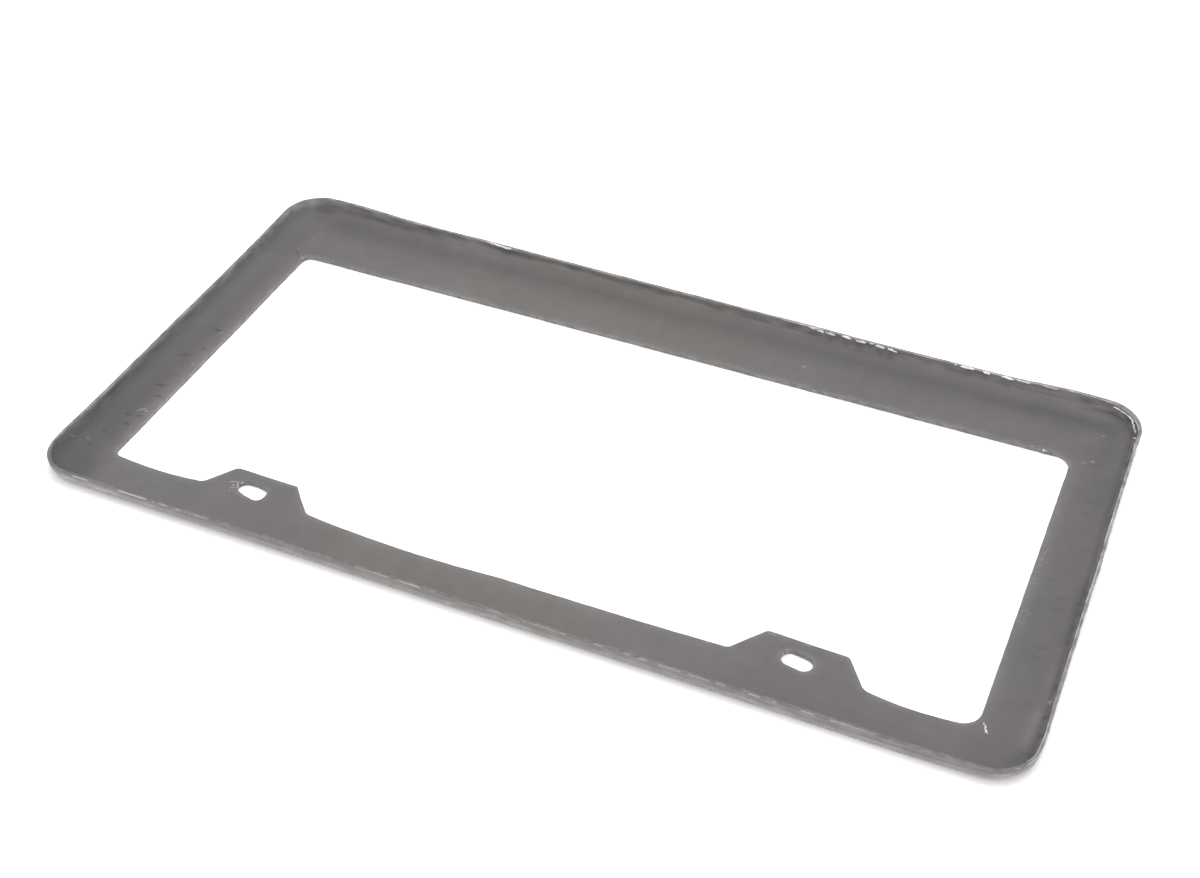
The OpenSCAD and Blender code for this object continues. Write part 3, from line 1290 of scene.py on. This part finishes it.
    def fill_flange(self, mesh: bmesh.types.BMesh) -> None:
        """Close the flange between the rolled edge and the cut outlines, both sides.

        Args:
            mesh: the mesh that holds both.
        """
        arrises = []
        for z in (self.edge.wall_t, 0.0):
            ring = [
                e
                for e in mesh.edges
                if e.is_boundary and all(abs(v.co.z - z) < LEVEL for v in e.verts)
            ]
            arrises += [e for e in ring if self.edge.inset(*e.verts[0].co.xy) > self.edge.flat_end + 0.5]
            bmesh.ops.triangle_fill(mesh, use_beauty=True, use_dissolve=False, edges=ring)
        bmesh.ops.recalc_face_normals(mesh, faces=mesh.faces)
        bmesh.ops.bevel(
            mesh,
            geom=arrises,
            offset=self.eased,
            offset_type="OFFSET",
            segments=2,
            profile=0.5,
            affect="EDGES",
            material=-1,
            clamp_overlap=False,
        )

    def flange(self, mesh: bmesh.types.BMesh) -> list[bmesh.types.BMFace]:
        """Find the faces of the flat flange inside the rolled edge, on both sides.

        Args:
            mesh: the mesh.

        Returns:
            The faces, in the mesh's order.
        """
        return [
            f
            for f in mesh.faces
            if abs(f.normal.z) > 0.999
            and self.edge.inset(*f.calc_center_median().xy) > self.edge.flat_end
        ]

    def refine(self, mesh: bmesh.types.BMesh) -> None:
        """Break the flange's long triangles into small, even ones.

        Args:
            mesh: the mesh.
        """
        for longest in (24, 12, 6, 3.5):
            flat = set(self.flange(mesh))
            inner = [e for e in mesh.edges if e.link_faces and flat.issuperset(e.link_faces)]
            long = [e for e in inner if e.calc_length() > longest]
            bmesh.ops.subdivide_edges(mesh, edges=long, cuts=1)
            split = [f for f in self.flange(mesh) if len(f.verts) > 3]
            bmesh.ops.triangulate(mesh, faces=split)
            cut = [f for f in self.flange(mesh) if len(f.verts) == 3]
            flat = set(cut)
            inner = [e for e in mesh.edges if e.link_faces and flat.issuperset(e.link_faces)]
            bmesh.ops.beautify_fill(mesh, faces=cut, edges=inner)

    def sort_sides(self, mesh: bmesh.types.BMesh) -> None:
        """Give each face its side: back, show face, outer wall of the lip or sawn edge.

        Args:
            mesh: the mesh, with its normals up to date.
        """
        for face in mesh.faces:
            x, y, z = face.calc_center_median()
            up = face.normal.z
            inset = self.edge.inset(x, y)
            on_rim = z > self.edge.lip_h - 0.4 and up > 0.35 and inset < 1.05
            outside = up < 0.35 and (inset < 0.7 or up < -0.2)
            if inset > self.edge.flat_end:
                level = abs(up) > 0.9
                side = (Side.BACK if up > 0 else Side.SHOW) if level else Side.TRIM
            elif on_rim:
                side = Side.TRIM
            elif outside:
                side = Side.LIP if z > self.edge.roll_rise - 1 else Side.SHOW
            else:
                side = Side.BACK
            face.material_index = side.value

    def measure(self, mesh: bmesh.types.BMesh) -> None:
        """Store each vertex's distances from the rim and the cuts, its painted shading and tone, and how
        much its proud fibres and painted highlight show.

        Args:
            mesh: the mesh, before it is made uneven.
        """
        inset = mesh.verts.layers.float.new("inset")
        reveal = mesh.verts.layers.float.new("reveal")
        tone = mesh.verts.layers.float.new("tone")
        frayed_and_glint = mesh.verts.layers.float.new("frayed_and_glint")
        cut = [
            v
            for v in mesh.verts
            if 0.4 < v.co.z < 1.45 and self.edge.inset(v.co.x, v.co.y) > self.edge.flat_end
        ]
        tree = kdtree.KDTree(len(cut))
        for index, vert in enumerate(cut):
            tree.insert((vert.co.x, vert.co.y, 0), index)
        tree.balance()
        for vert in mesh.verts:
            x, y, z = vert.co
            vert[inset] = self.edge.inset(x, y)
            vert[reveal] = tree.find((x, y, 0))[2]
            # Cut faces are drawn lighter: partly pale fibre ends, partly painted light
            vert[tone] = self.tone(x, y, z, vert[inset]) * (1.14 if vert[reveal] < 0.12 else 1)
            vert[frayed_and_glint] = self.fraying_and_glint(x, y)

    def fraying_and_glint(self, x: float, y: float) -> float:
        """Work out how much the proud fibres and their painted highlight show at a place on the rim.

        Args:
            x: place along X, in mm.
            y: place along Y, in mm.

        Returns:
            The share, from 0 to 1.
        """
        if y < NEAR_LIP:
            return read_off(self.near_frays_and_glints, x)
        if y > FAR_LIP:
            return read_off(self.far_frays_and_glints, x)
        return 0.5 if x < 0 else 1.0

    def tone(self, x: float, y: float, z: float, inset: float) -> float:
        """Work out the painted shade and the tone of the laminate at a place, as a share of its ground
        colour.

        Args:
            x: place along X, in mm.
            y: place along Y, in mm.
            z: height, in mm.
            inset: distance in from the rim, in mm.

        Returns:
            The share, from about 0.4 to 2.2.
        """
        if inset < 0.6 or z > self.edge.rim_z:
            return self.wall_tone(x, y, z, inset)
        if z < self.edge.under(inset) + 0.3:
            return self.show_tone
        # How deep the place is inside the lip, and how far it is into each band's share
        deep = inset - self.edge.lip_t + self.edge.lip_h - z
        wander = 1.0 * ripple(x, y, 17, 41.5) + 0.5 * ripple(x, y, 6, 42.5)
        wander *= clamp(deep / 6)
        far = clamp((y - 44) / 10)
        left = clamp((-x - 137.5 + 2.5 * ripple(x, y, 9, 43.5)) / 7)
        right = clamp((x - 135) / 8)
        near = clamp((-y - 48) / 10)
        value = 1 + (read_off(self.near_tones, x) - 1) * near
        # Painted shade in each lip's cove and crease, and painted light on its slope
        value += (self.far_shade_and_tone(x, deep + wander) - value) * far
        side = read_off(self.left_painted_shade, deep + 0.8 * wander) * (1 + 0.065 * y / 60)
        # The left band is lighter towards the window about its middle
        lighter_inside = math.exp(-(((y + 36) / 26) ** 2)) * clamp((inset - 13) / 3)
        value += (side + 0.28 * lighter_inside - value) * left
        value += (min(value, read_off(self.right_painted_shade, deep + 0.5 * wander)) - value) * right
        # Ragged resin in the top of the lip, drawn out along it
        along = Vector((x / (2.4 + 3.6 * far), y / (6 - 3.6 * far), z / 1.3 + 44.5))
        ragged = noise.noise(along) * clamp((4.5 - deep) / 2)
        value *= 1 + (0.45 * left + 0.45 * far * (1 - left) + 0.3 * right) * ragged
        value *= 1 + sum(streak.at(x, y) for streak in self.streaks)
        return value * (1 + 0.04 * ripple(x, y, 26, 45.5) + 0.04 * ripple(x, y, 9, 46.5))

    def far_shade_and_tone(self, x: float, deep: float) -> float:
        """Work out the wide band's painted shade and light by depth, and how light it is along its
        length.

        Args:
            x: place along X, in mm.
            deep: depth below the rim, in mm.

        Returns:
            The share of the ground colour.
        """
        middle = read_off(self.far_painted_shade, deep)
        value = middle
        shallow = clamp((6.2 - deep) / 0.5)
        value += (read_off(self.far_left_painted_shade, deep) - middle) * clamp((-x - 95) / 15) * shallow
        value += (read_off(self.far_right_painted_shade, deep) - middle) * clamp((x - 10) / 15) * shallow
        return value * read_off(self.far_levels, x)

    def wall_tone(self, x: float, y: float, z: float, inset: float) -> float:
        """Work out how light the rim and the outer wall are at a place.

        Args:
            x: place along X, in mm.
            y: place along Y, in mm.
            z: height, in mm.
            inset: distance in from the rim, in mm.

        Returns:
            The share of the ground colour.
        """
        if z < self.edge.rim_z:
            # Painted shade just under the rim, and painted reflection of the table towards the wall's
            # foot
            value = read_off(self.wall_shade_and_reflection, z)
            if y < NEAR_LIP:
                proud = self.fraying_and_glint(x, y) * clamp((z - 4.4) / 0.85)
                value *= 1 + 0.15 * clamp((-x - 105) / 30) + 0.2 * proud
            return value
        # The narrow band's rim, then all of the rest, and of that the left and right rims
        value = read_off(self.rim_tones, inset)
        far = clamp((y + 76) / 4)
        value += (1.02 + 0.1 * clamp(x / 20) - value) * far
        value += (1.07 - 0.62 * clamp(inset - 0.5) - value) * clamp((-x - 146) / 8) * far
        value += (read_off(self.right_rim_tones, inset) - value) * clamp((x - 146) / 8) * far
        value *= 1 + 0.07 * clamp((x - 146) / 8) * far * math.tanh(y / 25)
        value *= 1 - 0.2 * clamp((y - 64) / 6) * clamp((x - 146) / 6)
        return value * (1 + 0.5 * far * ripple(x, y, 3.2, 47.5))

    def roughen(self, mesh: bmesh.types.BMesh) -> None:
        """Make the edge hand-made: an uneven rim, pooled resin and a straying lip.

        Args:
            mesh: the mesh.
        """
        for vert in mesh.verts:
            x, y, z = vert.co
            inset = self.edge.inset(x, y)
            if inset > self.edge.flat_end:
                continue
            out = self.outward(x, y)
            # How far a point is up the lip, at its trimmed rim, and in the border's foot
            rise = clamp((z - self.edge.roll_rise) / (self.edge.lip_h - self.edge.roll_rise))
            trimmed = clamp((z - 4.6) / 0.9)
            foot = clamp((8 - inset) / 5)
            low = foot * clamp(z / self.edge.roll_rise)
            inner = inset > 0.8 and z > self.edge.under(inset) + 0.75
            lean = 0.0
            drop = trimmed * (0.1 + 0.12 * ripple(x, y, 9, 21.5) + 0.08 * ripple(x, y, 2.2, 22.5))
            for stray in self.strays:
                near = math.exp(-((x - stray.x) ** 2 + (y - stray.y) ** 2) / stray.reach**2)
                lean += stray.lean * near * (foot if stray.whole else rise)
                drop -= stray.lift * near * (low * (1 - trimmed) if stray.whole else trimmed)
                if inner:
                    lean -= stray.wide * near * clamp((z - 2.2) / 1.2)
            if inner:
                lumpy = 1.9 if y > 60 or x < -140 else 1.0
                pool = lumpy * (0.14 * ripple(x, y, 10, 31.5) + 0.1 * ripple(x, y, 3, 32.5))
                pool *= clamp((7 - inset) / 3)
                lean -= pool
                drop -= pool * (1 - trimmed) * 0.5
            vert.co += out * lean
            vert.co.z -= drop

    def outward(self, x: float, y: float) -> Vector:
        """Find the level direction from a place on the rim to the outside.

        Args:
            x: place along X, in mm.
            y: place along Y, in mm.

        Returns:
            The direction, one long.
        """
        qx = abs(x) - self.edge.rim_w / 2 + self.edge.corner_r
        qy = abs(y) - self.edge.rim_d / 2 + self.edge.corner_r
        if qx > 0 and qy > 0:
            return Vector((math.copysign(qx, x), math.copysign(qy, y), 0)).normalized()
        if qx > qy:
            return Vector((math.copysign(1, x), 0, 0))
        return Vector((0, math.copysign(1, y), 0))

    def build(self, materials: list[bpy.types.Material]) -> bpy.types.Object:
        """Make the frame.

        Args:
            materials: materials in the order of Side.

        Returns:
            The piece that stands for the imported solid.
        """
        mesh = bmesh.new()
        self.edge.wire(mesh)
        self.edge.sweep(mesh)
        self.cut_outlines(mesh)
        self.fill_flange(mesh)
        self.refine(mesh)
        mesh.normal_update()
        self.sort_sides(mesh)
        self.measure(mesh)
        self.roughen(mesh)
        piece = finish_piece(mesh, "frame_laminate", materials, sharp=28)
        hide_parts("plate_frame")
        return piece


@dataclass(frozen=True)
class Chip:
    """A flake of resin or fibre, some of them painted glints: its middle, size and turn, in mm and
    degrees, and how light it is.
    """

    x: float
    y: float
    z: float
    length: float
    width: float
    turn: float
    tone: float = 1.0


@dataclass
class ResinChipsAndGlints:
    """Flakes that broke white at the slot and by the window's corners, and along the rim
    white flakes that are partly broken resin and partly painted glints on glossy resin.
    """

    chips: tuple[Chip, ...] = (
        # Along the wide band's rim and round its right corner: partly broken resin, partly painted glints
        # where glossy resin catches the light
        Chip(43.5, 80.7, 5.25, 3.2, 0.9, -3, 0.9),
        Chip(46.4, 80.4, 5.25, 2.6, 1.0, -8, 1.0),
        Chip(50.0, 80.2, 5.2, 3.4, 1.0, -6, 0.95),
        Chip(55.6, 80.6, 5.25, 3.0, 1.4, -12, 1.0),
        Chip(60.9, 80.3, 5.2, 3.6, 1.1, -2, 0.9),
        Chip(64.6, 80.6, 5.25, 1.7, 0.9, 0, 0.8),
        Chip(67.6, 80.2, 5.2, 3.0, 1.2, -4, 0.95),
        Chip(71.9, 80.1, 5.2, 3.2, 1.2, -10, 0.9),
        Chip(93.9, 81.1, 5.25, 0.6, 1.6, 0, 0.75),
        Chip(97.9, 80.9, 5.3, 4.2, 1.6, -2, 1.12),
        Chip(104.4, 81.0, 5.3, 2.5, 1.7, -8, 1.12),
        Chip(111.5, 81.2, 5.3, 3.9, 1.5, -4, 1.1),
        Chip(116.8, 81.4, 5.25, 5.4, 0.9, -2, 0.85),
        Chip(125.5, 81.9, 5.3, 5.0, 0.7, -2, 0.7),
        Chip(-80.0, 81.7, 5.3, 5.4, 0.9, -3, 0.95),
        Chip(-76.0, 81.5, 5.3, 6.6, 1.2, -4, 1.0),
        Chip(-73.2, 81.3, 5.25, 3.4, 1.3, -4, 1.0),
        Chip(-96.2, 81.7, 5.2, 3.8, 1.0, 4, 0.36),
        Chip(-92.4, 81.9, 5.2, 3.6, 0.9, 0, 0.34),
        Chip(148.8, 79.9, 5.3, 3.0, 0.6, -22, 1.0),
        Chip(151.1, 78.8, 5.3, 2.8, 0.6, -30, 1.0),
        Chip(153.3, 77.2, 5.3, 2.9, 0.7, -42, 1.0),
        Chip(154.6, 75.3, 5.25, 2.6, 0.6, -68, 0.95),
        Chip(155.3, 73.1, 5.25, 2.4, 0.7, -72, 0.8),
        Chip(156.2, 71.2, 5.25, 1.6, 0.7, -80, 0.6),
        Chip(156.7, 67.6, 5.25, 1.0, 0.8, 0, 0.7),
        Chip(130.6, 54.6, 1.5, 0.7, 1.5, 25, 0.8),
        Chip(131.4, 54.4, 1.5, 1.2, 0.4, -15, 0.6),
        Chip(127.0, 54.9, 1.5, 1.6, 0.5, 0, 0.45),
        Chip(141.3, -63.7, 1.5, 1.5, 0.65, -50, 0.75),
        Chip(141.8, -64.8, 1.5, 1.5, 0.75, -95, 0.9),
        Chip(142.4, -65.9, 1.5, 1.6, 0.95, -50, 1.0),
        Chip(142.9, -64.0, 1.5, 0.6, 0.4, 0, 0.4),
        Chip(-98.6, -61.4, 1.5, 2.3, 0.4, 24, 0.62),
        Chip(-96.9, -61.4, 1.5, 1.4, 0.4, -52, 0.66),
        Chip(-97.7, -62.6, 1.5, 1.0, 0.5, 20, 0.68),
        Chip(-97.4, -63.7, 1.5, 1.7, 0.4, 16, 0.62),
        Chip(-96.2, -62.6, 1.5, 1.5, 0.5, -75, 0.68),
        Chip(-95.7, -60.7, 1.5, 1.1, 0.6, 80, 0.65),
        Chip(-97.4, -65.5, 1.5, 1.1, 0.5, 20, 0.4),
        Chip(-92.0, -66.4, 1.5, 1.3, 0.3, -20, 0.36),
        Chip(82.2, -61.2, 1.5, 0.9, 0.5, 70, 0.55),
        Chip(83.0, -60.0, 1.5, 1.0, 0.4, 30, 0.45),
        Chip(-144.6, -43.5, 1.5, 1.8, 0.4, 28, 0.5),
        Chip(-142.8, -43.6, 1.5, 1.2, 0.6, 30, 0.56),
        Chip(-143.7, -42.6, 1.5, 1.0, 0.4, 60, 0.5),
        Chip(-145.1, -44.5, 1.5, 1.3, 0.35, 20, 0.45),
        Chip(-140.4, 50.2, 1.5, 1.6, 0.6, 50, 0.4),
        Chip(-144.8, 54.6, 1.5, 1.0, 0.5, 70, 0.36),
        Chip(76.9, -55.4, 1.5, 2.4, 0.4, 2, 0.45),
        Chip(88.0, -55.5, 1.5, 3.6, 0.4, -2, 0.42),
    )

    def build(self, materials: list[bpy.types.Material]) -> bpy.types.Object:
        """Make the flakes as one piece.

        Args:
            materials: the resin's material, alone in its list.

        Returns:
            The piece.
        """
        mesh = bmesh.new()
        tone = mesh.verts.layers.float.new("tone")
        for chip in self.chips:
            thick = min(0.45, 0.4 * chip.width + 0.1)
            place = (
                Matrix.Translation((chip.x, chip.y, chip.z))
                @ Matrix.Rotation(math.radians(chip.turn), 4, "Z")
                @ Matrix.Diagonal((chip.length / 2, 0.38 * chip.width, thick / 2, 1))
            )
            made = bmesh.ops.create_icosphere(mesh, subdivisions=3, radius=1.0)["verts"]
            for vert in made:
                x, y, z = vert.co
                bend = noise.noise(Vector((1.3 * x, chip.x, chip.y)))
                vert.co *= 1 + 0.6 * noise.noise(Vector((2.6 * x + chip.x, 1.7 * y + chip.y, 1.7 * z)))
                vert.co.y += 0.9 * bend
                vert[tone] = chip.tone
            bmesh.ops.transform(mesh, matrix=place, verts=made)
        return finish_piece(mesh, "resin_chips_and_glints", materials, sharp=60)


@dataclass
class Studio:
    """Pale tabletop, even soft light and the photograph's camera."""

    azimuth: float = 21.116
    elevation: float = 41.314
    roll: float = 1.597
    distance: float = 569.476
    target: tuple[float, float, float] = (15.526, 11.424, 0.0)
    focal: float = 1765.111
    middle: tuple[float, float] = (661.564, 440.439)
    picture: tuple[int, int] = (1200, 878)
    sky: float = 0.83
    lamp: float = 5.2
    lamp_place: tuple[float, float, float] = (0.1, 0.35, 1.2)
    lamp_tilt: tuple[float, float] = (-14, 4)
    lamp_size: float = 0.8
    floor_size: float = 3.0
    floor_lit: tuple[float, ...] = (0.86, 0.86, 0.86, 1)
    floor_seen: tuple[float, ...] = (1.42, 1.42, 1.41, 1)
    white: tuple[float, ...] = (1, 1, 1, 1)

    def set_camera(self) -> None:
        """Place the camera where the photograph's was."""
        a, e = math.radians(self.azimuth), math.radians(self.elevation)
        back = Vector((math.sin(a) * math.cos(e), -math.cos(a) * math.cos(e), math.sin(e)))
        right = (-back).cross(Vector((0, 0, 1))).normalized()
        up = right.cross(-back)
        r = math.radians(self.roll)
        level = math.cos(r) * right + math.sin(r) * up
        upright = math.cos(r) * up - math.sin(r) * right
        turn = Matrix((level, upright, back)).transposed().to_4x4()
        place = (Vector(self.target) + back * self.distance) * MM
        data = bpy.data.cameras.new("camera")
        data.sensor_width = 36.0
        data.lens = self.focal * data.sensor_width / self.picture[0]
        data.shift_x = (self.picture[0] / 2 - self.middle[0]) / self.picture[0]
        data.shift_y = (self.middle[1] - self.picture[1] / 2) / self.picture[0]
        data.clip_start = 0.01
        camera = bpy.data.objects.new("camera", data)
        camera.matrix_world = Matrix.Translation(place) @ turn
        bpy.context.scene.collection.objects.link(camera)
        bpy.context.scene.camera = camera

    def lay_floor(self) -> None:
        """Lay a white tabletop that keeps the frame's soft shadow."""
        mesh = bmesh.new()
        bmesh.ops.create_grid(mesh, x_segments=1, y_segments=1, size=self.floor_size)
        bmesh.ops.translate(mesh, verts=mesh.verts, vec=(0, 0, -0.05 * MM))
        data = bpy.data.meshes.new("floor")
        mesh.to_mesh(data)
        mesh.free()
        floor = bpy.data.objects.new("floor", data)
        bpy.context.scene.collection.objects.link(floor)
        material, tree, shader = new_material("white_tabletop")
        white = add(
            tree,
            "ShaderNodeMix",
            {"Factor": self.seen(tree), 6: self.floor_lit, 7: self.floor_seen},
            data_type="RGBA",
        ).outputs[2]
        top = add(tree, "ShaderNodeBsdfDiffuse", {"Color": white}).outputs[0]
        tree.links.new(top, tree.nodes["Material Output"].inputs["Surface"])
        tree.nodes.remove(shader)
        data.materials.append(material)

    def set_light(self) -> None:
        """Light the table evenly, from all round and from a broad lamp overhead."""
        world = bpy.data.worlds.new("studio")
        bpy.context.scene.world = world
        world.use_nodes = True
        tree = world.node_tree
        tree.nodes.clear()
        lit = add(tree, "ShaderNodeBackground", {"Color": self.white, "Strength": self.sky})
        white = add(tree, "ShaderNodeBackground", {"Color": self.white, "Strength": 1.0})
        mixed = add(
            tree,
            "ShaderNodeMixShader",
            {0: self.seen(tree), 1: lit.outputs[0], 2: white.outputs[0]},
        ).outputs[0]
        add(tree, "ShaderNodeOutputWorld", {"Surface": mixed})
        data = bpy.data.lights.new("overhead", "AREA")
        data.shape = "SQUARE"
        data.size = self.lamp_size
        data.energy = self.lamp
        lamp = bpy.data.objects.new("overhead", data)
        lamp.location = self.lamp_place
        lamp.rotation_euler = (*(math.radians(angle) for angle in self.lamp_tilt), 0)
        bpy.context.scene.collection.objects.link(lamp)

    def seen(self, tree: bpy.types.NodeTree) -> bpy.types.NodeSocket:
        """Tell what the camera sees, also as a reflection, from the light on the frame.

        Args:
            tree: the nodes of the floor or the world.

        Returns:
            1 for a ray that is seen, 0 for one that only lights.
        """
        path = add(tree, "ShaderNodeLightPath").outputs
        return add(
            tree,
            "ShaderNodeMath",
            {0: path["Is Camera Ray"], 1: path["Is Glossy Ray"]},
            operation="MAXIMUM",
        ).outputs[0]

    def build(self) -> None:
        """Set up the camera, the floor and the light."""
        self.set_camera()
        self.lay_floor()
        self.set_light()
        bpy.context.scene.view_settings.view_transform = "Standard"


def main() -> None:
    """Build the stage and the frame."""
    logging.basicConfig(level=logging.INFO, format="%(name)s: %(message)s")
    Studio().build()
    pieces = [
        PlateFrame().build(
            [BareLaminate().build(), CoatedTwill().build(), SawnEdge().build(), RubbedCoat().build()]
        ),
        ResinChipsAndGlints().build([DryResinAndGlints().build()]),
    ]
    for piece in pieces:
        log.info("%s has %d faces", piece.name, len(piece.data.polygons))
    bpy.context.view_layer.update()


if __name__ == "__main__":
    main()
